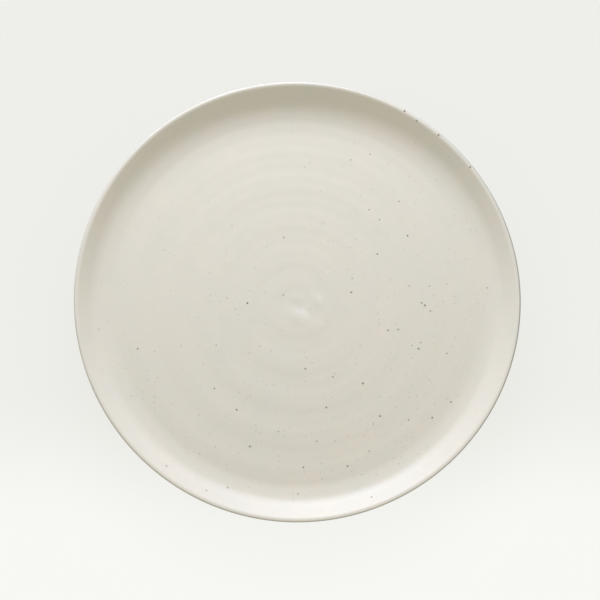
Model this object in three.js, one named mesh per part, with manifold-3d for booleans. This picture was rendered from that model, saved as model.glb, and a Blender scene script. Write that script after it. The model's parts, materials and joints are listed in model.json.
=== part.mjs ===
// A hand-thrown stoneware dinner plate: a turned clay body, a glaze coat that runs over the well,
// the wall and the lip and down to the foot, and the glaze inside the foot ring.
// Millimetres, +Z up. The plate lies on its foot ring, with the origin on the table at the middle
// of the foot. +X is the long way across the slightly oval rim.
import * as THREE from "three";
import { mergeVertices } from "three/addons/utils/BufferGeometryUtils.js";
import Module from "manifold-3d";

// Overall sizes, over the glaze
const RIM_DIAMETER = 270; // mean of the oval rim
const HEIGHT = 20.2; // table to the top of the lip

// Clay body
const WELL_THICKNESS = 5.6; // clay under the flat well
const LIP_ROLL = 2.4; // bend on the inside of the lip, where the wall rolls over
const LIP_EDGE = 0.7; // tighter bend on the outside of the lip
const WALL_ANGLE = 43; // degrees that the inside of the wall rises from level
const WALL_TAPER = 6; // degrees by which the outside is steeper, so that the wall thickens downwards
const COVE_RADIUS = 7; // inside bend, at the foot of the wall
const DISH_RADIUS = 34; // gentle rise of the well before that bend
const DISH_ANGLE = 18; // degrees that the well has risen where the bend starts
const HEEL_RADIUS = 14; // outside bend, from the underside up into the wall

// Foot ring, turned from the same clay
const FOOT_HEIGHT = 3.4; // table to the underside
const FOOT_WIDTH = 6.5; // across the face that stands on the table
const FOOT_INSET = 11; // in from the start of the heel's bend to the ring's outer edge
const FOOT_DRAFT = 12; // degrees that the ring's sides lean out, upwards
const FOOT_ROUNDING = 0.9; // how far each corner of the ring is rounded back

// Glaze
const GLAZE_THICKNESS = 0.4;
const BARE_MARGIN = 2.2; // underside left bare on each side of the foot ring

// The plate moved as the clay dried. The foot was turned afterwards, and stayed round.
const OVAL_SWELL = 1.25; // out along the long way, in across it
const OVAL_DIRECTION = -1.5; // degrees from +X
const LOBES = 3; // faint lobes round the rim
const LOBE_SWELL = 0.2; // out at each lobe, in between them
const LOBE_DIRECTION = 13; // degrees from +X to the first lobe

// Finishes
const CLAY_COLOUR = 0xc0a688;
const CLAY_ROUGHNESS = 0.9;
const GLAZE_COLOUR = 0xd9d4c9;
const GLAZE_ROUGHNESS = 0.4;

// Smoothness of the facets
const TURN_STEPS = 84; // round the plate
const ARC_STEPS = 2; // half the steps of an arc, and the steps of a rounded corner

const { cos, sin, tan, hypot, atan2 } = Math;
const { clamp, degToRad: radians } = THREE.MathUtils;

// Solid modeller, for the one cut
const wasm = await Module();
wasm.setup();

// Section of the plate, in (radius, height)
const dishRise = radians(DISH_ANGLE);
const innerRise = radians(WALL_ANGLE);
const outerRise = radians(WALL_ANGLE + WALL_TAPER);
const wellHeight = FOOT_HEIGHT + WELL_THICKNESS; // top of the clay
const rimRadius = RIM_DIAMETER / 2;
const lipTop = HEIGHT - GLAZE_THICKNESS;
const lipCrest = rimRadius - GLAZE_THICKNESS - LIP_EDGE; // where the roll and the edge meet
const roll = new THREE.Vector2(lipCrest, lipTop - LIP_ROLL);
const edge = new THREE.Vector2(lipCrest, lipTop - LIP_EDGE);

// The well rises along the dish into the cove. The cove and the lip's roll share the inner wall as a
// tangent, and the heel and the lip's edge the outer wall.
const easing = DISH_RADIUS - COVE_RADIUS;
const coveHeight = wellHeight + DISH_RADIUS - easing * cos(dishRise);
const coveReach = cos(innerRise) * (coveHeight - roll.y) - COVE_RADIUS - LIP_ROLL;
const cove = new THREE.Vector2(roll.x + coveReach / sin(innerRise), coveHeight);
const dish = new THREE.Vector2(cove.x - easing * sin(dishRise), wellHeight + DISH_RADIUS);
const heelHeight = FOOT_HEIGHT + HEEL_RADIUS;
const heelReach = cos(outerRise) * (heelHeight - edge.y) - HEEL_RADIUS + LIP_EDGE;
const heel = new THREE.Vector2(edge.x + heelReach / sin(outerRise), heelHeight);

// The foot ring, with its sides drawn up to the underside
const footLean = FOOT_HEIGHT * tan(radians(FOOT_DRAFT));
const footOuter = heel.x - FOOT_INSET;
const footInner = footOuter - FOOT_WIDTH;
const glazeLine = footOuter + footLean + BARE_MARGIN; // where the coat stops on the underside
const baseLine = footInner - footLean - BARE_MARGIN; // where the glaze inside the ring stops

// From the middle of the well over the lip to the glaze line, lifted off the clay by a thickness
function thrownSurface(lift) {
  const down = -Math.PI / 2;
  const path = new THREE.Path();
  path.moveTo(0, wellHeight + lift);
  path.lineTo(dish.x, wellHeight + lift);
  path.absarc(dish.x, dish.y, DISH_RADIUS - lift, down, dishRise + down, false);
  path.absarc(cove.x, cove.y, COVE_RADIUS - lift, dishRise + down, innerRise + down, false);
  path.absarc(roll.x, roll.y, LIP_ROLL + lift, innerRise - down, -down, true);
  path.absarc(edge.x, edge.y, LIP_EDGE + lift, -down, outerRise + down, true);
  path.absarc(heel.x, heel.y, HEEL_RADIUS + lift, outerRise + down, down, true);
  path.lineTo(glazeLine, FOOT_HEIGHT - lift);
  return path.getPoints(ARC_STEPS);
}

// The bare clay after the glaze line: across the underside, round the foot ring, in to the axis
function turnedUnderside() {
  const corners = [
    new THREE.Vector2(footOuter + footLean, FOOT_HEIGHT),
    new THREE.Vector2(footOuter, 0),
    new THREE.Vector2(footInner, 0),
    new THREE.Vector2(footInner - footLean, FOOT_HEIGHT),
  ];
  const start = new THREE.Vector2(glazeLine, FOOT_HEIGHT);
  const end = new THREE.Vector2(baseLine, FOOT_HEIGHT);
  const path = new THREE.Path([start]);
  corners.forEach((corner, i) => {
    const before = corners[i - 1] ?? start;
    const after = corners[i + 1] ?? end;
    const entry = corner.clone().add(before.clone().sub(corner).setLength(FOOT_ROUNDING));
    const exit = corner.clone().add(after.clone().sub(corner).setLength(FOOT_ROUNDING));
    path.lineTo(entry.x, entry.y);
    path.quadraticCurveTo(corner.x, corner.y, exit.x, exit.y);
  });
  path.lineTo(end.x, end.y);
  path.lineTo(0, FOOT_HEIGHT);
  return path.getPoints(ARC_STEPS).slice(1);
}

// Moves the plate out of round, from nothing at the foot ring to all of it at the wall
function dryOutOfRound(geometry) {
  const position = geometry.getAttribute("position");
  for (let i = 0; i < position.count; i++) {
    const x = position.getX(i);
    const y = position.getY(i);
    const radius = hypot(x, y);
    const turn = atan2(y, x);
    const share = clamp((radius - footOuter) / (cove.x - footOuter), 0, 1);
    const oval = OVAL_SWELL * cos(2 * (turn - radians(OVAL_DIRECTION)));
    const lobes = LOBE_SWELL * cos(LOBES * (turn - radians(LOBE_DIRECTION)));
    const swell = radius > 0 ? (share * (oval + lobes)) / radius : 0;
    position.setXY(i, x * (1 + swell), y * (1 + swell));
  }
  return geometry;
}

// Turns a section round the axis of the plate. It is drawn from the top of the axis to the bottom,
// and LatheGeometry takes it upwards, to face outwards.
function thrown(section) {
  const turned = new THREE.LatheGeometry(section.toReversed(), TURN_STEPS);
  return dryOutOfRound(turned.rotateX(Math.PI / 2));
}

// What one closed geometry has outside another, whose faces it then shares
function outside(geometry, core) {
  const [whole, inner] = [geometry, core].map((source) => {
    const bare = source.clone().deleteAttribute("normal").deleteAttribute("uv");
    const { attributes, index } = mergeVertices(bare);
    const vertProperties = attributes.position.array;
    return new wasm.Manifold(new wasm.Mesh({ numProp: 3, vertProperties, triVerts: index.array }));
  });
  const { vertProperties, triVerts } = whole.subtract(inner).getMesh();
  const rest = new THREE.BufferGeometry();
  rest.setAttribute("position", new THREE.BufferAttribute(vertProperties, 3));
  rest.setIndex(new THREE.BufferAttribute(triVerts, 1));
  rest.computeVertexNormals();
  return rest;
}

function piece(name, geometry, color, roughness) {
  const mesh = new THREE.Mesh(geometry, new THREE.MeshStandardMaterial({ color, roughness }));
  mesh.name = name;
  return mesh;
}

const underside = new THREE.Vector2(0, FOOT_HEIGHT); // where it meets the axis
const body = thrown([...thrownSurface(0), ...turnedUnderside()]);
const dipped = thrown([
  ...thrownSurface(GLAZE_THICKNESS),
  new THREE.Vector2(glazeLine, FOOT_HEIGHT),
  underside,
]);
const base = thrown([
  underside,
  new THREE.Vector2(baseLine, FOOT_HEIGHT),
  new THREE.Vector2(baseLine - GLAZE_THICKNESS, FOOT_HEIGHT - GLAZE_THICKNESS),
  new THREE.Vector2(0, FOOT_HEIGHT - GLAZE_THICKNESS),
]);

const plate = new THREE.Group();
plate.add(
  piece("stoneware_body", body, CLAY_COLOUR, CLAY_ROUGHNESS),
  piece("glaze_coat", outside(dipped, body), GLAZE_COLOUR, GLAZE_ROUGHNESS),
  piece("base_glaze", base, GLAZE_COLOUR, GLAZE_ROUGHNESS),
);

export default plate;
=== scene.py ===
"""Looks of a hand-thrown stoneware plate: its clay, its speckled glaze and a plain studio stage.

Lengths are in metres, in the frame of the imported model. The plate lies on its foot ring on the floor with
+Z up, and the camera looks down on it with +Y upwards in the picture.
"""

import json
import math
from enum import IntEnum
from functools import reduce
from itertools import pairwise
from operator import or_
from typing import NamedTuple

import bpy
import numpy as np
from bpy.props import FloatProperty, FloatVectorProperty, IntProperty, PointerProperty
from bpy.types import Operator, Panel, PropertyGroup
from mathutils import Matrix, Vector
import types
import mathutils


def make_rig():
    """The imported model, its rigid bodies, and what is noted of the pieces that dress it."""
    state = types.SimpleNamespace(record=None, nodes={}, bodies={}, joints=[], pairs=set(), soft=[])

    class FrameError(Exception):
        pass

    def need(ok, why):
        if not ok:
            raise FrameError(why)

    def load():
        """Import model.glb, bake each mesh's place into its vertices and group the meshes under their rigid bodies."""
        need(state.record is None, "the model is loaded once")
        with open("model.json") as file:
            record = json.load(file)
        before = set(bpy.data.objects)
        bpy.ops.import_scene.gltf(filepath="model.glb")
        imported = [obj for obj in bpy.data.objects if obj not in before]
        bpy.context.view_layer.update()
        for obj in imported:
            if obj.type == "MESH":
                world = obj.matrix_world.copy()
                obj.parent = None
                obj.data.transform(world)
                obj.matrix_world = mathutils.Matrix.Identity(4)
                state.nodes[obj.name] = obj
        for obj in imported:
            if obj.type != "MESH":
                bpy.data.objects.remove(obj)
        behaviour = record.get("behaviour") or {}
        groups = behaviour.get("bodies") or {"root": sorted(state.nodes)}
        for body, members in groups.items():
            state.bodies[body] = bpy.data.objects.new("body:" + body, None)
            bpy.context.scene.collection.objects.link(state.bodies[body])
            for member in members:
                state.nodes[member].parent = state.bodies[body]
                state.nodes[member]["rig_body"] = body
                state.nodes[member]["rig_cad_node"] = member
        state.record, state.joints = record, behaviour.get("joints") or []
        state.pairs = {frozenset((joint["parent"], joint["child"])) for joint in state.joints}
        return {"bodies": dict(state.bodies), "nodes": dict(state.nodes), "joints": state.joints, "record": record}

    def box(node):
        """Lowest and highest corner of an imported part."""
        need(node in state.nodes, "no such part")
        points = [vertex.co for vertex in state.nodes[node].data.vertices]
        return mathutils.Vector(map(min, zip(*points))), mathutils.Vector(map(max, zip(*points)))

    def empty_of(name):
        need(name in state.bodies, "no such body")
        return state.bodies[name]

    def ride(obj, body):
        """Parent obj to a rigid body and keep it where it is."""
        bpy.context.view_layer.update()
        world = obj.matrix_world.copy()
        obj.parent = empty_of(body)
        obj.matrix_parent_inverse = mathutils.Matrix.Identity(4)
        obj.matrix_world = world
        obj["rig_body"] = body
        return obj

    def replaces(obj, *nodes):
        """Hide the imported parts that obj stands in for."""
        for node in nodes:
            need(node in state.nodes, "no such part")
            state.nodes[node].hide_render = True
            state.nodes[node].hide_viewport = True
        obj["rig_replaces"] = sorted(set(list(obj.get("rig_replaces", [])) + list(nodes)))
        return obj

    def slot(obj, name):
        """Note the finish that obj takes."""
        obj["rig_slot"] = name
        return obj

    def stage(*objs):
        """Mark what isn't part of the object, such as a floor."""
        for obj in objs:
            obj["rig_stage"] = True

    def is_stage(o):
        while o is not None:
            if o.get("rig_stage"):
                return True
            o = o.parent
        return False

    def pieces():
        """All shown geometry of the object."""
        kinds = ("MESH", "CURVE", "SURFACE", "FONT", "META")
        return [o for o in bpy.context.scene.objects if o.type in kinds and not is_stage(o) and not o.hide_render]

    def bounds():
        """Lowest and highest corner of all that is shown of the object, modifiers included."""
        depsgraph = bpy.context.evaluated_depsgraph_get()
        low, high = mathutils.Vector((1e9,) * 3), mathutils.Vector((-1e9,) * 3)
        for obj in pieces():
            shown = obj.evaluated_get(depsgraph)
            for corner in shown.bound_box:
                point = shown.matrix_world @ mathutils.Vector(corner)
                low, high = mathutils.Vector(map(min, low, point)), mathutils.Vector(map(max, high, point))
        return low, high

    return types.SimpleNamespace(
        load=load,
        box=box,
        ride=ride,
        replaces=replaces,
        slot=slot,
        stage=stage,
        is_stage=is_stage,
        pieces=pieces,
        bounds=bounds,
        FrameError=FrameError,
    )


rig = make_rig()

bl_info = {
    "name": "Stoneware Plate",
    "version": (1, 0, 0),
    "blender": (4, 5, 0),
    "location": "View3D > Sidebar > Plate",
    "description": "Throws, glazes and lights a hand-thrown stoneware plate",
    "category": "Add Mesh",
}

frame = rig.load()
cad_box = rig.bounds()
coat_low, coat_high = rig.box("glaze_coat")
coat_span = coat_high - coat_low
_, clay_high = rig.box("stoneware_body")
_, base_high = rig.box("base_glaze")

MM = 0.001
SAME_POINT = MM / 100
SIZE_FILE = "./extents.json"
BODY = "root"


def length(name, description, default):
    """A length that a user may change, in metres."""
    return FloatProperty(
        name=name, description=description, default=default, unit="LENGTH", precision=5
    )


def angle(name, description, degrees):
    """An angle that a user may change, given in degrees."""
    return FloatProperty(
        name=name, description=description, default=math.radians(degrees), unit="ROTATION"
    )


def share(name, description, default):
    """A plain number from 0 to 1."""
    return FloatProperty(
        name=name, description=description, default=default, min=0, max=1, subtype="FACTOR"
    )


def colour(name, description, default):
    """A colour, in linear light."""
    return FloatVectorProperty(
        name=name, description=description, default=default, size=3, min=0, max=1, subtype="COLOR"
    )


class PlateSizes(PropertyGroup):
    """Sizes of the thrown clay and of the glaze on it"""

    rim_diameter: length("Rim", "Mean of the oval rim, over the glaze", (coat_span.x + coat_span.y) / 2)
    height: length("Height", "Floor to the top of the lip", coat_high.z)
    well_thickness: length("Well Thickness", "Clay under the flat well", 5.6 * MM)
    lip_roll: length("Lip Roll", "Bend on the inside of the lip", 2.4 * MM)
    lip_edge: length("Lip Edge", "Tighter bend on the outside of the lip", 0.7 * MM)
    wall_angle: angle("Wall Angle", "Rise of the inside of the wall", 43)
    wall_taper: angle("Wall Taper", "How much steeper the outside of the wall is", 6)
    cove_radius: length("Cove", "Bend at the foot of the wall, which the glaze fills a little", 12 * MM)
    dish_radius: length("Dish", "Gentle rise of the well before that bend", 34 * MM)
    dish_angle: angle("Dish Angle", "Rise of the well where the bend starts", 18)
    heel_radius: length("Heel", "Bend from the underside up into the wall", 14 * MM)
    foot_height: length("Foot Height", "Floor to the underside", base_high.z)
    foot_width: length("Foot Width", "Face of the foot ring on the floor", 6.5 * MM)
    foot_inset: length("Foot Inset", "From the start of the heel in to the foot ring", 11 * MM)
    foot_draft: angle("Foot Draft", "Lean of the sides of the foot ring", 12)
    foot_rounding: length("Foot Rounding", "Rounding of the corners of the foot ring", 0.9 * MM)
    bare_margin: length("Bare Margin", "Underside left bare beside the foot ring", 2.2 * MM)
    glaze_thickness: length("Glaze", "Thickness of the glaze", coat_high.z - clay_high.z)
    oval_swell: length("Oval", "Rim out along X and in along Y", (coat_span.x - coat_span.y) / 4)
    oval_direction: angle("Oval Direction", "Long way across the rim, from X", -1.5)
    lobe_swell: length("Lobes", "Swell of three faint lobes round the rim", 0.2 * MM)
    lobe_direction: angle("Lobe Direction", "First lobe, from X", 13)
    turn_steps: IntProperty(name="Turn Steps", description="Facets round the plate", default=240, min=24)
    run_step: length("Run Step", "Longest facet along the section", 1.2 * MM)


class PlateMarks(PropertyGroup):
    """Marks that the hands and the turning tool left in the clay"""

    ring_pitch: length("Ring Pitch", "Spacing of the broad throwing rings", 22 * MM)
    ring_depth: length("Ring Depth", "Height of the broad throwing rings", 0.09 * MM)
    groove_pitch: length("Groove Pitch", "Spacing of the fine throwing grooves", 7.5 * MM)
    groove_depth: length("Groove Depth", "Height of the fine throwing grooves", 0.03 * MM)
    swirl_depth: length("Swirl Depth", "Height of the swirl in the middle", 0.08 * MM)
    swirl_pitch: length("Swirl Pitch", "Spacing of the turns of the swirl", 12 * MM)
    swirl_reach: length("Swirl Reach", "How far the swirl runs out", 16 * MM)
    swirl_start: angle("Swirl Start", "Turn of the swirl about the middle", 45)
    wall_pitch: length("Wall Pitch", "Spacing of the rings outside the wall", 4.2 * MM)
    wall_depth: length("Wall Depth", "Height of the rings outside the wall", 0.05 * MM)
    lip_waver: length("Lip Waver", "Rise and fall of the lip", 0.25 * MM)
    line_waver: length("Line Waver", "Wander of the glaze line round the foot", 0.7 * MM)


class PlateFinish(PropertyGroup):
    """Colours and texture of the glaze and of the bare clay"""

    glaze_cool: colour("Glaze Cool", "Cooler tone of the glaze", (0.646, 0.629, 0.569))
    glaze_warm: colour("Glaze Warm", "Warmer tone of the glaze", (0.700, 0.647, 0.571))
    # Painted highlight: the whiter colour that stands in for the glint on the swirl's bright slopes
    glaze_thick: colour("Glaze Thick", "Whiter glaze where it gathered", (0.735, 0.728, 0.690))
    # Partly painted shade: besides thin glaze, this darker grey stands in for the shade along the lip's outer edge
    glaze_thin: colour("Glaze Thin", "Glaze that breaks over the lip", (0.360, 0.362, 0.345))
    glaze_roughness: share("Glaze Roughness", "Satin of the glaze", 0.44)
    speck_dark: colour("Dark Specks", "Iron that melted through the glaze", (0.075, 0.048, 0.030))
    speck_tan: colour("Tan Specks", "Iron that lies under the glaze", (0.380, 0.305, 0.225))
    speck_spacing: length("Speck Spacing", "Spacing of the dark specks", 5.9 * MM)
    speck_radius: length("Speck Radius", "Radius of the largest dark specks", 0.7 * MM)
    clay_light: colour("Clay Light", "Lighter tone of the bare clay", (0.560, 0.410, 0.275))
    clay_dark: colour("Clay Dark", "Darker tone of the bare clay", (0.470, 0.325, 0.205))
    clay_roughness: share("Clay Roughness", "Roughness of the bare clay", 0.88)


class PlateStage(PropertyGroup):
    """Camera, softbox, room and floor"""

    lens: FloatProperty(name="Lens", description="Focal length in millimetres", default=120, min=20)
    distance: length("Distance", "Camera to the rim", 1.2135)
    view_left: angle("View Left", "Camera off the axis of the plate, towards -X", 5.5)
    view_low: angle("View Low", "Camera off the axis of the plate, towards -Y", 2)
    aim_right: length("Aim Right", "Middle of the picture, right of the middle of the rim", 0.31 * MM)
    aim_up: length("Aim Up", "Middle of the picture, above the middle of the rim", 0.68 * MM)
    key_power: FloatProperty(name="Key", description="Power of the softbox", default=8.1, unit="POWER")
    key_colour: colour("Key Colour", "Light of the softbox", (0.785, 0.84, 1.0))
    key_turn: angle("Key Turn", "Softbox off the top of the picture, towards -X", 6.4)
    key_rise: angle("Key Rise", "Softbox above the level of the floor", 26)
    key_distance: length("Key Distance", "Softbox to the middle of the plate", 0.82)
    key_width: length("Key Width", "Softbox along the floor", 0.70)
    key_depth: length("Key Depth", "Softbox up and down", 0.32)
    room_light: FloatProperty(name="Room", description="Level of the light all round", default=0.66, min=0)
    room_colour: colour("Room Colour", "Light all round", (1.0, 0.972, 0.845))
    backdrop: colour("Backdrop", "Pale ground behind the plate", (0.863, 0.860, 0.826))
    # Painted light: a paler glow on this side of the floor, as if it were lit more
    foreground: colour("Foreground", "Pale ground on the side away from the softbox", (0.935, 0.942, 0.902))
    floor_colour: colour("Floor", "Floor that takes the shadow", (0.640, 0.628, 0.580))


def settings():
    """The four groups of sizes, marks, finishes and stage."""
    scene = bpy.context.scene
    return scene.plate_sizes, scene.plate_marks, scene.plate_finish, scene.plate_stage


class Arc(NamedTuple):
    """A round stretch of the section, from one angle to another, in (radius, height)."""

    centre: tuple
    radius: float
    start: float
    end: float
    steps: int

    @property
    def corner(self):
        """Where the tangents at its two ends meet."""
        middle = (self.start + self.end) / 2
        reach = self.radius / math.cos((self.end - self.start) / 2)
        across, up = self.centre
        return Vector((across + reach * math.cos(middle), 0, up + reach * math.sin(middle)))

    @property
    def cut(self):
        """How far back from the corner it starts."""
        return self.radius * math.tan(abs(self.end - self.start) / 2)


class Corner(NamedTuple):
    """A corner of the section, cut back and rounded where the cut isn't nothing."""

    place: Vector
    cut: float = 0
    steps: int = 1


class Section:
    """The turned section of the plate, worked out from its sizes."""

    def __init__(self, sizes):
        quarter = math.pi / 2
        inner_rise = sizes.wall_angle
        outer_rise = sizes.wall_angle + sizes.wall_taper
        self.rim = sizes.rim_diameter / 2
        self.well = sizes.foot_height + sizes.well_thickness
        self.lip_top = sizes.height - sizes.glaze_thickness
        crest = self.rim - sizes.glaze_thickness - sizes.lip_edge
        roll = (crest, self.lip_top - sizes.lip_roll)
        edge = (crest, self.lip_top - sizes.lip_edge)

        # The well rises along the dish into the cove. The cove and the lip's roll share the inner wall as
        # a tangent, and the heel and the lip's edge the outer wall.
        easing = sizes.dish_radius - sizes.cove_radius
        cove_height = self.well + sizes.dish_radius - easing * math.cos(sizes.dish_angle)
        reach = math.cos(inner_rise) * (cove_height - roll[1]) - sizes.cove_radius - sizes.lip_roll
        cove = (crest + reach / math.sin(inner_rise), cove_height)
        dish = (cove[0] - easing * math.sin(sizes.dish_angle), self.well + sizes.dish_radius)
        heel_height = sizes.foot_height + sizes.heel_radius
        reach = math.cos(outer_rise) * (heel_height - edge[1]) - sizes.heel_radius + sizes.lip_edge
        heel = (crest + reach / math.sin(outer_rise), heel_height)

        lean = sizes.foot_height * math.tan(sizes.foot_draft)
        self.foot_outer = heel[0] - sizes.foot_inset
        self.foot_inner = self.foot_outer - sizes.foot_width
        self.glaze_line = self.foot_outer + lean + sizes.bare_margin
        self.base_line = self.foot_inner - lean - sizes.bare_margin
        self.cove_start = cove[0]

        arcs = [
            Arc(dish, sizes.dish_radius, -quarter, sizes.dish_angle - quarter, 9),
            Arc(cove, sizes.cove_radius, sizes.dish_angle - quarter, inner_rise - quarter, 6),
            Arc(roll, sizes.lip_roll, inner_rise + quarter, quarter, 6),
            Arc(edge, sizes.lip_edge, quarter, outer_rise / 2, 5),
            Arc(edge, sizes.lip_edge, outer_rise / 2, outer_rise - quarter, 5),
            Arc(heel, sizes.heel_radius, outer_rise - quarter, -quarter, 12),
        ]
        foot = [
            (self.foot_outer + lean, sizes.foot_height),
            (self.foot_outer, 0),
            (self.foot_inner, 0),
            (self.foot_inner - lean, sizes.foot_height),
        ]
        self.corners = [
            Corner(Vector((0, 0, self.well))),
            *(Corner(arc.corner, arc.cut, arc.steps) for arc in arcs),
            Corner(Vector((self.glaze_line, 0, sizes.foot_height))),
            *(Corner(Vector((x, 0, z)), sizes.foot_rounding, 4) for x, z in foot),
            Corner(Vector((self.base_line, 0, sizes.foot_height))),
            Corner(Vector((0, 0, sizes.foot_height))),
        ]


class Mark(NamedTuple):
    """A soft oval mark, in millimetres, turned from X in degrees."""

    x: float
    y: float
    turn: float
    length: float
    width: float
    strength: float

    def over(self, place):
        """How strong the mark is at each place."""
        turn = math.radians(self.turn)
        x = place[:, 0] - self.x * MM
        y = place[:, 1] - self.y * MM
        along = (x * math.cos(turn) + y * math.sin(turn)) / (self.length * MM)
        across = (y * math.cos(turn) - x * math.sin(turn)) / (self.width * MM)
        return self.strength * np.exp(-(along**2) - across**2)


# Where the fingers left the clay in the middle of the well, and a wrinkle at the foot of the wall. The
# strength is the height in millimetres.
STROKES = (
    Mark(x=-1.8, y=-4.0, turn=-25, length=8.0, width=3.6, strength=-0.20),
    Mark(x=0.6, y=-11.0, turn=-25, length=9.5, width=4.6, strength=0.34),
    Mark(x=11.5, y=0.2, turn=-45, length=4.5, width=2.6, strength=0.22),
    Mark(x=-84, y=86, turn=-52, length=3.5, width=0.9, strength=0.14),
)

# Painted highlights: whiter patches on the bright slopes of those strokes, where the softbox glints. The strength is
# the share of the whiter colour.
PAINTED_GLINTS = (
    Mark(x=2.0, y=-5.8, turn=-27, length=6.5, width=2.2, strength=0.75),
    Mark(x=12.6, y=3.2, turn=-58, length=4.0, width=1.8, strength=0.5),
)


SELECT_MODES = {"vertices": "VERT", "edges": "EDGE", "polygons": "FACE"}


def pick(obj, domain, wanted):
    """Goes into edit mode with only the wanted vertices, edges or faces selected."""
    bpy.ops.object.mode_set(mode="EDIT")
    bpy.ops.mesh.select_mode(type=SELECT_MODES[domain])
    bpy.ops.mesh.select_all(action="DESELECT")
    bpy.ops.object.mode_set(mode="OBJECT")
    for element in getattr(obj.data, domain):
        element.select = wanted(element)
    bpy.ops.object.mode_set(mode="EDIT")


def draw_section(name, corners):
    """Draws the section as a line from corner to corner, and bevels the corners that are rounded."""
    bpy.ops.object.select_all(action="DESELECT")
    bpy.ops.mesh.primitive_plane_add(size=MM)
    obj = bpy.context.object
    obj.name = name
    bpy.ops.object.mode_set(mode="EDIT")
    bpy.ops.mesh.merge(type="CENTER")
    bpy.ops.transform.translate(value=corners[0].place)
    for before, after in pairwise(corners):
        bpy.ops.mesh.extrude_vertices_move(TRANSFORM_OT_translate={"value": after.place - before.place})
    for corner in corners:
        if corner.cut:
            pick(obj, "vertices", lambda v, at=corner.place: (v.co - at).length < SAME_POINT)
            bpy.ops.mesh.bevel(
                offset=corner.cut, segments=corner.steps, affect="VERTICES", clamp_overlap=False
            )
    bpy.ops.mesh.select_all(action="SELECT")
    bpy.ops.mesh.remove_doubles(threshold=SAME_POINT)
    bpy.ops.object.mode_set(mode="OBJECT")
    return obj


def cut_runs(obj, step):
    """Cuts the straight runs of the section into facets no longer than a step."""

    def ends(edge):
        return [obj.data.vertices[i].co.copy() for i in edge.vertices]

    for one, two in [ends(edge) for edge in obj.data.edges]:
        cuts = math.ceil((two - one).length / step) - 1
        if cuts > 0:
            middle = (one + two) / 2
            pick(obj, "edges", lambda e, at=middle: (sum(ends(e), Vector()) / 2 - at).length < SAME_POINT)
            bpy.ops.mesh.subdivide(number_cuts=cuts)
            bpy.ops.object.mode_set(mode="OBJECT")


def turn_on_wheel(obj, steps):
    """Spins the section once round, and closes its seam and its poles."""
    bpy.ops.object.mode_set(mode="EDIT")
    bpy.ops.mesh.select_all(action="SELECT")
    bpy.ops.mesh.spin(steps=steps, angle=math.tau, center=(0, 0, 0), axis=(0, 0, 1))
    bpy.ops.mesh.select_all(action="SELECT")
    bpy.ops.mesh.remove_doubles(threshold=SAME_POINT / 2)
    bpy.ops.mesh.normals_make_consistent(inside=False)
    bpy.ops.object.mode_set(mode="OBJECT")


def smooth(value, low, high):
    """0 below low, 1 above high, and an easy curve between."""
    t = np.clip((value - low) / (high - low), 0, 1)
    return t * t * (3 - 2 * t)


class Wander(IntEnum):
    """What wanders round the plate, each in its own way."""

    RINGS = 1
    GROOVES = 2
    STRENGTH = 3
    RIBS = 4
    LIP = 5
    COAT_LINE = 6
    BASE_LINE = 7


# The waves of a slow wander: how often each comes round, its size and its shift
WAVES = ((1, 0.5, 1.3), (2, 0.3, 2.1), (5, 0.2, 3.7))


def uneven(turn, seed):
    """A slow wander round the plate, between about -1 and 1."""
    return sum(size * np.sin(times * turn + shift * seed) for times, size, shift in WAVES)


class Points(NamedTuple):
    """Points of the clay: their places, the ways they face, and their radius and turn on the wheel."""

    place: np.ndarray
    facing: np.ndarray
    radius: np.ndarray
    turn: np.ndarray

    def move_out(self, shift):
        """Moves the points outwards from the axis."""
        self.place[:, :2] *= (1 + shift / np.maximum(self.radius, MM))[:, None]


def throwing_rings(points, marks):
    """Height of the throwing rings: one long spiral, broad with finer grooves on it, round the swirl."""
    _, _, radius, turn = points
    broad = np.cos(math.tau * radius / marks.ring_pitch - turn + 0.6 * uneven(turn, Wander.RINGS))
    fine = np.cos(math.tau * radius / marks.groove_pitch - turn + 0.9 * uneven(turn, Wander.GROOVES))
    strength = 0.7 + 0.6 * uneven(turn, Wander.STRENGTH)
    rings = marks.ring_depth * strength * broad + marks.groove_depth * (1 - 0.5 * strength) * fine
    return rings * smooth(radius, 0.5 * marks.swirl_reach, 1.5 * marks.swirl_reach)


def middle_swirl(points, marks):
    """Height of the swirl in the middle, where the hands leave the clay."""
    _, _, radius, turn = points
    swirl = np.cos(math.tau * radius / marks.swirl_pitch - turn + marks.swirl_start)
    fade = np.exp(-((radius / marks.swirl_reach) ** 2)) * smooth(radius, 0, marks.swirl_pitch / 4)
    return marks.swirl_depth * swirl * fade


# How far a normal points up or down, from where the marks begin to where they are whole
FACING_UP = (0.3, 0.66)
FACING_DOWN = (0.2, 0.5)
FLAT = 0.98  # and from where the underside counts as flat

RIB_FADE = 12 * MM  # from the glaze line to where the rings outside the wall are whole
LINE_REACH = 2 * MM  # how far from a glaze line the clay goes along with it
LIP_BAND = (3 * MM, MM)  # below the top of the lip: where glaze starts to break, and breaks in full


def wall_ribs(points, section, marks):
    """Height of the rings outside the wall."""
    place, facing, radius, turn = points
    outside = smooth(-facing[:, 2], *FACING_DOWN)
    outside *= smooth(radius, section.glaze_line, section.glaze_line + RIB_FADE)
    strength = 0.7 + 0.5 * uneven(turn, Wander.RIBS)
    return marks.wall_depth * outside * strength * np.cos(math.tau * place[:, 2] / marks.wall_pitch - turn)


def line_wander(points, line, seed, sizes, marks):
    """How far outwards a glaze line on the flat underside wanders."""
    place, facing, radius, turn = points
    under = (facing[:, 2] < -FLAT) & (np.abs(place[:, 2] - sizes.foot_height) < sizes.glaze_thickness / 2)
    near = np.exp(-(((radius - line) / LINE_REACH) ** 2)) * under
    return marks.line_waver * uneven(3 * turn, seed) * near


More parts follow.
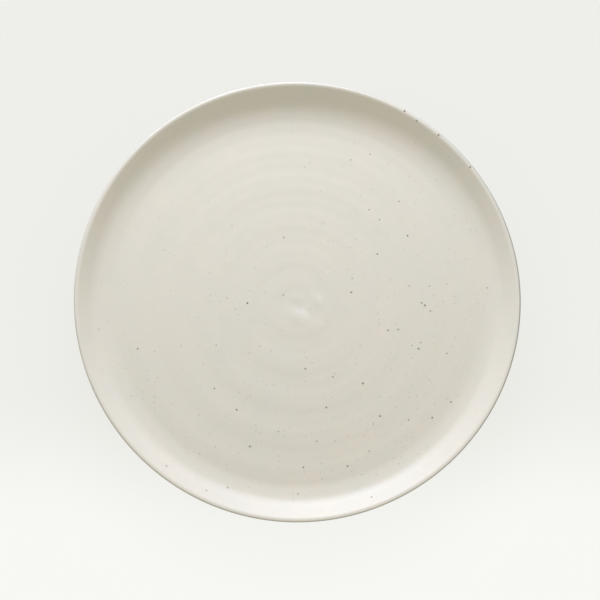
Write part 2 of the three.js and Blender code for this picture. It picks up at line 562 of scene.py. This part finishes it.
def drying(points, section, sizes):
    """How far outwards the clay moved as it dried: not at all at the foot ring, and in full at the wall."""
    _, _, radius, turn = points
    far = np.clip((radius - section.foot_outer) / (section.cove_start - section.foot_outer), 0, 1)
    oval = sizes.oval_swell * np.cos(2 * (turn - sizes.oval_direction))
    lobes = sizes.lobe_swell * np.cos(3 * (turn - sizes.lobe_direction))
    return far * (oval + lobes)


def lip_break_and_shade(points, section):
    """How far the glaze breaks over the lip, which is also painted shade: on its outer edge, and on the right over the
    crest too, the grey stands in for the shade along that edge.
    """
    place, facing, _, turn = points
    outward = facing[:, 0] * np.cos(turn) + facing[:, 1] * np.sin(turn)
    # Painted shade: more of it on the right side
    outward += 0.4 * np.maximum(np.cos(turn), 0) ** 4
    start, whole = LIP_BAND
    near_top = smooth(place[:, 2], section.lip_top - start, section.lip_top - whole)
    return smooth(outward, 0.25, 0.85) * near_top


def vectors(elements, field):
    """A vector for each element of a mesh, as the rows of an array."""
    values = np.empty(len(elements) * 3)
    elements.foreach_get(field, values)
    return values.reshape(-1, 3)


def throw_marks(obj, section, sizes, marks):
    """Moves the clay as hands, tool and drying did, and notes where the glaze differs: where it breaks over the lip,
    with painted shade there, and where highlights are painted on the swirl.
    """
    mesh = obj.data
    place = vectors(mesh.vertices, "co")
    facing = vectors(mesh.vertex_normals, "vector")
    radius = np.hypot(place[:, 0], place[:, 1])
    turn = np.arctan2(place[:, 1], place[:, 0])
    points = Points(place, facing, radius, turn)

    upward = smooth(facing[:, 2], *FACING_UP)
    # Painted highlight where the swirl's slopes catch the softbox
    glint_share = upward * sum(glint_patch.over(place) for glint_patch in PAINTED_GLINTS)
    push = throwing_rings(points, marks) + middle_swirl(points, marks)
    push += sum(stroke.over(place) for stroke in STROKES) * MM
    push = upward * push + wall_ribs(points, section, marks)
    place += facing * push[:, None]

    wall = smooth(radius, section.cove_start, section.rim)
    place[:, 2] += marks.lip_waver * uneven(turn, Wander.LIP) * wall
    for line, seed in ((section.glaze_line, Wander.COAT_LINE), (section.base_line, Wander.BASE_LINE)):
        points.move_out(line_wander(points, line, seed, sizes, marks))
    points.move_out(drying(points, section, sizes))

    # Where the lip is painted grey, for thin glaze and for the shade along its edge
    broken_and_shaded = lip_break_and_shade(points, section)
    for name, values in (("lip_edge", broken_and_shaded), ("glaze_pool", glint_share), ("wheel_radius", radius)):
        attribute = mesh.attributes.new(name, "FLOAT", "POINT")
        attribute.data.foreach_set("value", values.astype(np.float32))
    mesh.vertices.foreach_set("co", place.ravel())
    mesh.update()


def coat(clay, name, wetted, thickness):
    """Copies the faces of the clay that the glaze wets, and thickens the copy outwards."""
    bpy.ops.object.select_all(action="DESELECT")
    clay.select_set(True)
    bpy.context.view_layer.objects.active = clay
    known = set(bpy.data.objects)
    pick(clay, "polygons", wetted)
    bpy.ops.mesh.duplicate()
    bpy.ops.mesh.separate(type="SELECTED")
    bpy.ops.object.mode_set(mode="OBJECT")
    skin = next(iter(set(bpy.data.objects) - known))
    skin.name = name
    skin.data.name = name
    skin.id_properties_clear()  # the copy doesn't stand for the clay's node
    bpy.ops.object.select_all(action="DESELECT")
    skin.select_set(True)
    bpy.context.view_layer.objects.active = skin
    solid = skin.modifiers.new("thickness", "SOLIDIFY")
    solid.thickness = thickness
    solid.offset = 1
    solid.use_even_offset = True
    bpy.ops.object.modifier_apply(modifier=solid.name)
    return skin


SHARP = math.radians(50)  # least bend of an edge that is rounded


def round_edge(skin, low, radius):
    """Rounds the free edge of the glaze, which is the sharp one that lies lower than the clay."""
    bpy.ops.object.mode_set(mode="EDIT")
    bpy.ops.mesh.select_mode(type="EDGE")
    bpy.ops.mesh.select_all(action="DESELECT")
    bpy.ops.mesh.edges_select_sharp(sharpness=SHARP)
    bpy.ops.object.mode_set(mode="OBJECT")
    points = skin.data.vertices
    sharp = {e.index for e in skin.data.edges if e.select and all(points[i].co.z < low for i in e.vertices)}
    pick(skin, "edges", lambda e: e.index in sharp)
    bpy.ops.mesh.bevel(offset=radius, segments=3, affect="EDGES")
    bpy.ops.object.mode_set(mode="OBJECT")


class Wire:
    """An output socket in a node tree, for maths that reads as Python."""

    def __init__(self, tree, socket):
        self.tree = tree
        self.socket = socket

    def other(self, output):
        """Another output of the same node."""
        return Wire(self.tree, self.socket.node.outputs[output])

    def maths(self, operation, first, second):
        """A Math node on two values."""
        return self.tree.node("ShaderNodeMath", {"operation": operation}, {0: first, 1: second})

    def __add__(self, other):
        return self.maths("ADD", self, other)

    def __radd__(self, other):
        return self.maths("ADD", other, self)

    def __sub__(self, other):
        return self.maths("SUBTRACT", self, other)

    def __rsub__(self, other):
        return self.maths("SUBTRACT", other, self)

    def __mul__(self, other):
        return self.maths("MULTIPLY", self, other)

    def __rmul__(self, other):
        return self.maths("MULTIPLY", other, self)

    def __lt__(self, other):
        return self.maths("LESS_THAN", self, other)

    def __or__(self, other):
        return self.maths("MAXIMUM", self, other)


class Tree:
    """A node tree that is built from the words of this file."""

    def __init__(self, owner):
        owner.use_nodes = True
        self.nodes = owner.node_tree.nodes
        self.links = owner.node_tree.links
        self.nodes.clear()

    def node(self, kind, fields=None, inputs=None, output=0):
        """Adds a node, with its fields set first, then the values or links of its sockets."""
        made = self.nodes.new(kind)
        for key, value in (fields or {}).items():
            setattr(made, key, value)
        for key, value in (inputs or {}).items():
            if isinstance(value, Wire):
                self.links.new(value.socket, made.inputs[key])
            else:
                made.inputs[key].default_value = value
        return Wire(self, made.outputs[output]) if made.outputs else None

    def place(self):
        """Object coordinates."""
        return self.node("ShaderNodeTexCoord", output="Object")

    def noise(self, place, size, detail=2.0, roughness=0.5):
        """Cloudy noise about 0, whose lumps are about a size across."""
        cloud = self.node(
            "ShaderNodeTexNoise",
            {"noise_dimensions": "3D"},
            {"Vector": place, "Scale": 1 / size, "Detail": detail, "Roughness": roughness},
        )
        return cloud - 0.5

    def step(self, value, low, high):
        """0 at low, 1 at high, and an easy curve between. Low may be the larger."""
        return self.node(
            "ShaderNodeMapRange",
            {"interpolation_type": "SMOOTHSTEP"},
            {"Value": value, "From Min": low, "From Max": high},
        )

    def blend(self, mask, first, second):
        """The first colour where the mask is 0, the second where it is 1."""
        return self.node(
            "ShaderNodeMix",
            {"data_type": "RGBA", "clamp_factor": True},
            {0: mask, 6: first, 7: second},
            output=2,
        )

    def shifted(self, place, offset):
        """Coordinates moved by an offset."""
        return self.node("ShaderNodeVectorMath", {"operation": "ADD"}, {0: place, 1: offset})


def rgba(linear):
    """A colour with full alpha."""
    return (*linear, 1)


RAGGED_SIZE = 0.7 * MM  # lumps of the ragged edges of the grains
RAGGED_SHIFT = 0.28 * MM  # how far those edges are shaken

# Parts of a grain's radius: dark all through, the ring at its strongest, and the ring's end
GRAIN_CORE = 0.45
RING_START = 0.6
RING_END = 2.1
SMALLEST_GRAIN = 0.45  # part of the largest grain's radius


def ragged(tree, place):
    """Coordinates that are shaken a little, so that round grains get ragged edges."""
    shake = tree.node(
        "ShaderNodeTexNoise", None, {"Vector": place, "Scale": 1 / RAGGED_SIZE, "Detail": 1.0}, "Color"
    )
    wobble = tree.node("ShaderNodeVectorMath", {"operation": "SCALE"}, {0: shake, "Scale": RAGGED_SHIFT})
    return tree.shifted(place, wobble)


def grain(tree, away, radius):
    """A grain about a point: how deep a place lies in it, and in the soft ring round it."""
    core = tree.step(away, radius, radius * GRAIN_CORE)
    ring = tree.step(away, radius * RING_END, radius * RING_START)
    return core, ring


class Cast(NamedTuple):
    """Strewn grains of one kind: spacing and radius next to the dark specks', and share that came up."""

    spacing: float
    radius: float
    share: float
    seed: tuple


TAN_CAST = Cast(spacing=0.58, radius=0.8, share=1, seed=(3.1, 1.7, 0.4))
DARK_CAST = Cast(spacing=1, radius=1, share=0.75, seed=(0.9, 4.3, 2.2))
CLAY_CAST = Cast(spacing=0.55, radius=0.8, share=0.75, seed=(0.9, 4.3, 2.2))


def specks(tree, place, finish, cast, rich=1):
    """Round grains strewn through the clay, more of them where it is rich."""
    spacing = finish.speck_spacing * cast.spacing
    moved = tree.shifted(ragged(tree, place), cast.seed)
    cells = tree.node("ShaderNodeTexVoronoi", {"feature": "F1"}, {"Vector": moved, "Scale": 1 / spacing})
    draw = tree.node("ShaderNodeSeparateColor", None, {"Color": cells.other("Color")})
    kept = draw < rich * cast.share
    size = draw.other(1) * (1 - SMALLEST_GRAIN) + SMALLEST_GRAIN
    core, ring = grain(tree, cells * spacing, size * (finish.speck_radius * cast.radius))
    return core * kept, ring * kept


class Speck(NamedTuple):
    """A large grain that came up in the well or on the lip, in millimetres."""

    x: float
    y: float
    radius: float


# The grains that catch the eye: a cluster on the right, some about the well, and four on the lip
SPECKS = (
    Speck(76.5, -0.5, 0.55),
    Speck(78.5, -2, 0.7),
    Speck(82, -5.5, 0.5),
    Speck(49, 29.5, 0.55),
    Speck(62.5, 62, 0.5),
    Speck(55.5, -17.5, 0.55),
    Speck(40, -50, 0.7),
    Speck(4.5, -41, 0.55),
    Speck(21.5, -46, 0.5),
    Speck(94.5, -61.5, 0.55),
    Speck(30.5, -100.5, 0.6),
    Speck(-31, -1, 0.65),
    Speck(-51, -53, 0.55),
    Speck(-37.5, -66, 0.6),
    Speck(64.5, 116.5, 0.7),
    Speck(72, 110.5, 0.55),
    Speck(85.5, 102, 0.65),
    Speck(105, 82.5, 0.65),
)


def large_specks(tree, place):
    """The large grains, through the whole thickness of the clay."""
    shaken = ragged(tree, place)
    flat = tree.node("ShaderNodeVectorMath", {"operation": "MULTIPLY"}, {0: shaken, 1: (1, 1, 0)})
    drift = RAGGED_SHIFT / 2  # the shaking moves all places by this much on the whole
    grains = []
    for speck in SPECKS:
        middle = (speck.x * MM + drift, speck.y * MM + drift, 0)
        away = tree.node("ShaderNodeVectorMath", {"operation": "DISTANCE"}, {0: flat, 1: middle}, "Value")
        grains.append(grain(tree, away, speck.radius * MM))
    cores, rings = zip(*grains)
    return reduce(or_, cores), reduce(or_, rings)


# Share of the grains that came up: in the middle of the plate, more for each metre to the right, and more
# for each metre lower down
RICHNESS = 0.5
RICHER_RIGHT = 2.1
RICHER_DOWN = 4.2

# Where fewer specks show, from the middle of the plate, and the share that is left there: the iron thins out in the
# middle, and on the wall the thinning is painted highlight, standing in for the sheen that hides the specks
POOR_MIDDLE = (18 * MM, 34 * MM)
WALL_SHEEN = (118 * MM, 125 * MM)
POOR_SHARE = 0.15

# How far the grains and their rings cover the glaze
TAN_COVER = 0.55
TAN_RING = 0.1
DARK_COVER = 0.92
DARK_RING = 0.22


def speckled(tree, place, body, finish):
    """Adds the iron to the colour of the glaze, and says where it is dark."""
    across = tree.node("ShaderNodeSeparateXYZ", None, {0: place})
    away = tree.node("ShaderNodeVectorMath", {"operation": "LENGTH"}, {0: place}, output="Value")
    rich = RICHNESS + across * RICHER_RIGHT - across.other(1) * RICHER_DOWN
    # Painted highlight: fewer specks on the wall, where the sheen hides them
    rich *= 1 - (1 - POOR_SHARE) * tree.step(away, *WALL_SHEEN)
    rich *= POOR_SHARE + (1 - POOR_SHARE) * tree.step(away, *POOR_MIDDLE)

    tan, tan_ring = specks(tree, place, finish, TAN_CAST, rich)
    strewn, strewn_ring = specks(tree, place, finish, DARK_CAST, rich)
    large, large_ring = large_specks(tree, place)
    dark = strewn | large
    dark_ring = strewn_ring | large_ring

    body = tree.blend(tan * TAN_COVER | tan_ring * TAN_RING, body, rgba(finish.speck_tan))
    body = tree.blend(dark_ring * DARK_RING, body, rgba(finish.speck_tan))
    body = tree.blend(dark * DARK_COVER, body, rgba(finish.speck_dark))
    return body, dark


def glaze_finish(name, finish):
    """Satin off-white glaze, faintly clouded, with iron specks that melted through it, painted whiter where the swirl
    glints and painted darker grey for the shade along the lip's edge.
    """
    material = bpy.data.materials.new(name)
    tree = Tree(material)
    place = tree.place()
    broad = tree.noise(place, size=34 * MM, detail=2)
    cloud = tree.noise(place, size=8 * MM, detail=4, roughness=0.6)
    fine = tree.noise(place, size=1.3 * MM, detail=2, roughness=0.6)
    tone = broad * 1.1 + cloud * 1.5 + fine * 0.9 + 0.5
    body = tree.blend(tone, rgba(finish.glaze_cool), rgba(finish.glaze_warm))

    # Painted highlight: whiter colour in ragged patches where the swirl glints
    glint_patch = tree.node("ShaderNodeAttribute", {"attribute_name": "glaze_pool"}, output="Fac")
    body = tree.blend(glint_patch * (1 + cloud * 4 + fine * 2), body, rgba(finish.glaze_thick))

    # Glaze runs thin over the lip and shows the clay; the grey there is also painted shade along the outer edge,
    # darker on the right
    lip_thin_and_shade = tree.node("ShaderNodeAttribute", {"attribute_name": "lip_edge"}, output="Fac")
    across = tree.node("ShaderNodeSeparateXYZ", None, {0: place}, output="X")
    body = tree.blend(lip_thin_and_shade * (0.7 + across * 3.0 + cloud), body, rgba(finish.glaze_thin))

    body, dark = speckled(tree, place, body, finish)
    rough = finish.glaze_roughness + cloud * 0.10 + fine * 0.05 + dark * 0.1
    skin = tree.noise(place, size=2.6 * MM, detail=2) + dark * -0.5
    bump = tree.node("ShaderNodeBump", None, {"Strength": 1.0, "Distance": 0.02 * MM, "Height": skin})
    shader = tree.node(
        "ShaderNodeBsdfPrincipled",
        None,
        {"Base Color": body, "Roughness": rough, "Normal": bump, "IOR": 1.5},
    )
    tree.node("ShaderNodeOutputMaterial", None, {"Surface": shader})
    return material


TOOL_LINES = 7.8 * MM  # scale of the turning tool's lines, which lie about a third of it apart


def clay_finish(name, finish):
    """Bare fired stoneware: buff, sandy, with iron grains and the lines of the turning tool."""
    material = bpy.data.materials.new(name)
    tree = Tree(material)
    place = tree.place()
    cloud = tree.noise(place, size=11 * MM, detail=3)
    sand = tree.noise(place, size=0.8 * MM, detail=3, roughness=0.7)
    tone = 0.5 + cloud * 1.2 + sand * 0.8
    body = tree.blend(tone, rgba(finish.clay_light), rgba(finish.clay_dark))
    iron, iron_ring = specks(tree, place, finish, CLAY_CAST)
    body = tree.blend(iron * 0.85 | iron_ring * 0.2, body, rgba(finish.speck_dark))
    lines = tree.node(
        "ShaderNodeTexWave",
        {"wave_type": "RINGS", "rings_direction": "Z"},
        {"Vector": place, "Scale": 1 / TOOL_LINES, "Distortion": 1.5, "Detail": 2.0},
        output="Fac",
    )
    height = lines * 0.5 + sand
    bump = tree.node("ShaderNodeBump", None, {"Strength": 1.0, "Distance": 0.06 * MM, "Height": height})
    shader = tree.node(
        "ShaderNodeBsdfPrincipled",
        None,
        {"Base Color": body, "Roughness": finish.clay_roughness + sand * 0.1, "Normal": bump},
    )
    tree.node("ShaderNodeOutputMaterial", None, {"Surface": shader})
    return material


def finish_piece(obj, material, node, slot):
    """Gives a piece its material, and its place in the frame."""
    bpy.ops.object.select_all(action="DESELECT")
    obj.select_set(True)
    bpy.context.view_layer.objects.active = obj
    bpy.ops.object.shade_smooth()
    obj.data.materials.clear()
    obj.data.materials.append(material)
    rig.ride(obj, BODY)
    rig.replaces(obj, node)
    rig.slot(obj, slot)


def piece(name):
    """A piece that an earlier step has made."""
    if name not in bpy.data.objects:
        raise RuntimeError(f"{name} isn't there yet: throw the body first")
    return bpy.data.objects[name]


SLACK = MM / 10  # beside a glaze line, so that the points on it count as inside


def wheel_radii(clay):
    """How far from the axis each point of the clay was on the wheel."""
    return [point.value for point in clay.data.attributes["wheel_radius"].data]


class PLATE_OT_throw_body(Operator):
    """Throws and turns the clay body with its foot ring"""

    bl_idname = "plate.throw_body"
    bl_label = "Throw Body"

    def execute(self, context):
        sizes, marks, finish, _ = settings()
        section = Section(sizes)
        clay = draw_section("clay_body", section.corners)
        cut_runs(clay, sizes.run_step)
        turn_on_wheel(clay, sizes.turn_steps)
        throw_marks(clay, section, sizes, marks)
        finish_piece(clay, clay_finish("bare_stoneware", finish), "stoneware_body", "bare_stoneware")
        return {"FINISHED"}


class PLATE_OT_dip_coat(Operator):
    """Coats the well, the wall and the outside with glaze, down to the glaze line"""

    bl_idname = "plate.dip_coat"
    bl_label = "Dip Coat"

    def execute(self, context):
        sizes, _, finish, _ = settings()
        clay = piece("clay_body")
        radii = wheel_radii(clay)
        line = Section(sizes).glaze_line - SLACK
        floor = sizes.foot_height + MM

        def wetted(face):
            return face.center.z > floor or all(radii[i] > line for i in face.vertices)

        skin = coat(clay, "glaze_skin", wetted, sizes.glaze_thickness)
        round_edge(skin, sizes.foot_height - sizes.glaze_thickness / 2, sizes.glaze_thickness / 2)
        finish_piece(skin, glaze_finish("speckled_glaze", finish), "glaze_coat", "speckled_glaze")
        return {"FINISHED"}


class PLATE_OT_glaze_base(Operator):
    """Glazes the underside inside the foot ring"""

    bl_idname = "plate.glaze_base"
    bl_label = "Glaze Base"

    def execute(self, context):
        sizes, _, finish, _ = settings()
        clay = piece("clay_body")
        radii = wheel_radii(clay)
        line = Section(sizes).base_line + SLACK
        roof = sizes.foot_height + MM

        def wetted(face):
            return face.center.z < roof and all(radii[i] < line for i in face.vertices)

        skin = coat(clay, "foot_glaze", wetted, sizes.glaze_thickness)
        round_edge(skin, sizes.foot_height - sizes.glaze_thickness / 2, sizes.glaze_thickness / 2)
        finish_piece(skin, glaze_finish("base_glaze", finish), "base_glaze", "base_glaze")
        return {"FINISHED"}


FLOOR_RADIUS = 4
FLOOR_REACH = (1.2, 0.4)  # where the floor fades into the backdrop, from the middle
FOREGROUND_START = (-0.05, -0.14)  # where the foreground begins, along Y

# How plain the floor looks: its shade shows under the plate, hardly beside it, and not further out
PLAIN_UNDER = 0.4
PLAIN_BESIDE = 0.93
UNDER_RIM = (0.108, 0.136)
BESIDE_RIM = (0.13, 0.20)


def seen_directly(tree):
    """1 for the rays that show the background: the camera's, and those in gloss and glass."""
    path = tree.node("ShaderNodeLightPath", output="Is Camera Ray")
    return path | path.other("Is Glossy Ray") | path.other("Is Transmission Ray")


def lay_floor(stage):
    """A wide pale floor, which keeps the shadow near the plate and fades into the backdrop further out."""
    bpy.ops.object.select_all(action="DESELECT")
    bpy.ops.mesh.primitive_circle_add(vertices=96, radius=FLOOR_RADIUS, fill_type="NGON")
    floor = bpy.context.object
    floor.name = "floor"
    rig.stage(floor)
    material = bpy.data.materials.new("pale_floor")
    tree = Tree(material)
    place = tree.place()
    away = tree.node("ShaderNodeVectorMath", {"operation": "LENGTH"}, {0: place}, output="Value")
    plain = PLAIN_UNDER + (PLAIN_BESIDE - PLAIN_UNDER) * tree.step(away, *UNDER_RIM)
    plain += (1 - PLAIN_BESIDE) * tree.step(away, *BESIDE_RIM)
    upward = tree.node("ShaderNodeSeparateXYZ", None, {0: place}, output="Y")
    # Painted light: the floor's glow is paler towards -Y, away from the softbox, as a lit foreground would be
    near = tree.step(upward, *FOREGROUND_START) * tree.step(away, *FLOOR_REACH)
    tone = tree.blend(near, rgba(stage.backdrop), rgba(stage.foreground))
    ground = tree.node(
        "ShaderNodeBsdfPrincipled", None, {"Base Color": rgba(stage.floor_colour), "Roughness": 0.9}
    )
    glow = tree.node("ShaderNodeEmission", None, {"Color": tone, "Strength": 1.0})
    mixed = tree.node("ShaderNodeMixShader", None, {0: seen_directly(tree) * plain, 1: ground, 2: glow})
    tree.node("ShaderNodeOutputMaterial", None, {"Surface": mixed})
    floor.data.materials.append(material)


def light_room(stage):
    """Even light all round, with the pale backdrop for the camera and for reflections."""
    world = bpy.data.worlds.new("soft_room")
    bpy.context.scene.world = world
    tree = Tree(world)
    room = tree.node(
        "ShaderNodeBackground", None, {"Color": rgba(stage.room_colour), "Strength": stage.room_light}
    )
    behind = tree.node("ShaderNodeBackground", None, {"Color": rgba(stage.backdrop), "Strength": 1.0})
    mixed = tree.node("ShaderNodeMixShader", None, {0: seen_directly(tree), 1: room, 2: behind})
    tree.node("ShaderNodeOutputWorld", None, {"Surface": mixed})


def looking(place, target, upward):
    """The matrix of a lamp or camera that looks from a place at a target."""
    back = (place - target).normalized()
    right = upward.cross(back).normalized()
    return Matrix((right, back.cross(right), back)).transposed().to_4x4()


def hang_softbox(stage):
    """A soft lamp that looks at the middle of the plate, and that the camera itself doesn't see."""
    level = stage.key_distance * math.cos(stage.key_rise)
    place = Vector(
        (
            -level * math.sin(stage.key_turn),
            level * math.cos(stage.key_turn),
            stage.key_distance * math.sin(stage.key_rise),
        )
    )
    bpy.ops.object.light_add(type="AREA")
    light = bpy.context.object
    light.name = "softbox"
    light.visible_camera = False
    light.data.shape = "RECTANGLE"
    light.data.size = stage.key_width
    light.data.size_y = stage.key_depth
    light.data.energy = stage.key_power
    light.data.color = stage.key_colour
    light.matrix_world = Matrix.Translation(place) @ looking(place, Vector(), Vector((0, 0, 1)))


def set_camera(stage, rim_height):
    """A long lens that looks down on the plate, a little from its lower left."""
    target = Vector((stage.aim_right, stage.aim_up, rim_height))
    axis = Vector((-math.tan(stage.view_left), -math.tan(stage.view_low), 1)).normalized()
    place = target + axis * stage.distance
    bpy.ops.object.camera_add()
    camera = bpy.context.object
    camera.name = "camera"
    camera.data.lens = stage.lens
    camera.matrix_world = Matrix.Translation(place) @ looking(place, target, Vector((0, 1, 0)))
    bpy.context.scene.camera = camera


class PLATE_OT_set_stage(Operator):
    """Lays the floor, hangs the softbox, lights the room and sets the camera"""

    bl_idname = "plate.set_stage"
    bl_label = "Set Stage"

    def execute(self, context):
        sizes, _, _, stage = settings()
        lay_floor(stage)
        light_room(stage)
        hang_softbox(stage)
        set_camera(stage, sizes.height - sizes.lip_edge)
        context.scene.view_settings.view_transform = "Standard"
        return {"FINISHED"}


STEPS = (PLATE_OT_throw_body, PLATE_OT_dip_coat, PLATE_OT_glaze_base, PLATE_OT_set_stage)


class PLATE_PT_sidebar(Panel):
    """Steps and sizes of the plate"""

    bl_label = "Stoneware Plate"
    bl_space_type = "VIEW_3D"
    bl_region_type = "UI"
    bl_category = "Plate"

    def draw(self, context):
        for step in STEPS:
            self.layout.operator(step.bl_idname)
        for group in settings():
            box = self.layout.box()
            for name in group.__annotations__:
                box.prop(group, name)


GROUPS = {
    "plate_sizes": PlateSizes,
    "plate_marks": PlateMarks,
    "plate_finish": PlateFinish,
    "plate_stage": PlateStage,
}
CLASSES = (*GROUPS.values(), *STEPS, PLATE_PT_sidebar)


def register():
    for kind in CLASSES:
        bpy.utils.register_class(kind)
    for name, kind in GROUPS.items():
        setattr(bpy.types.Scene, name, PointerProperty(type=kind))


def unregister():
    for name in GROUPS:
        delattr(bpy.types.Scene, name)
    for kind in reversed(CLASSES):
        bpy.utils.unregister_class(kind)


def main():
    """Makes the plate and its stage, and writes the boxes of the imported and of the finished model."""
    register()
    bpy.ops.plate.throw_body()
    bpy.ops.plate.dip_coat()
    bpy.ops.plate.glaze_base()
    bpy.ops.plate.set_stage()
    with open(SIZE_FILE, "w") as file:
        boxes = {"cad": cad_box, "visual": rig.bounds()}
        json.dump({name: [list(corner) for corner in box] for name, box in boxes.items()}, file)


if __name__ == "__main__":
    main()
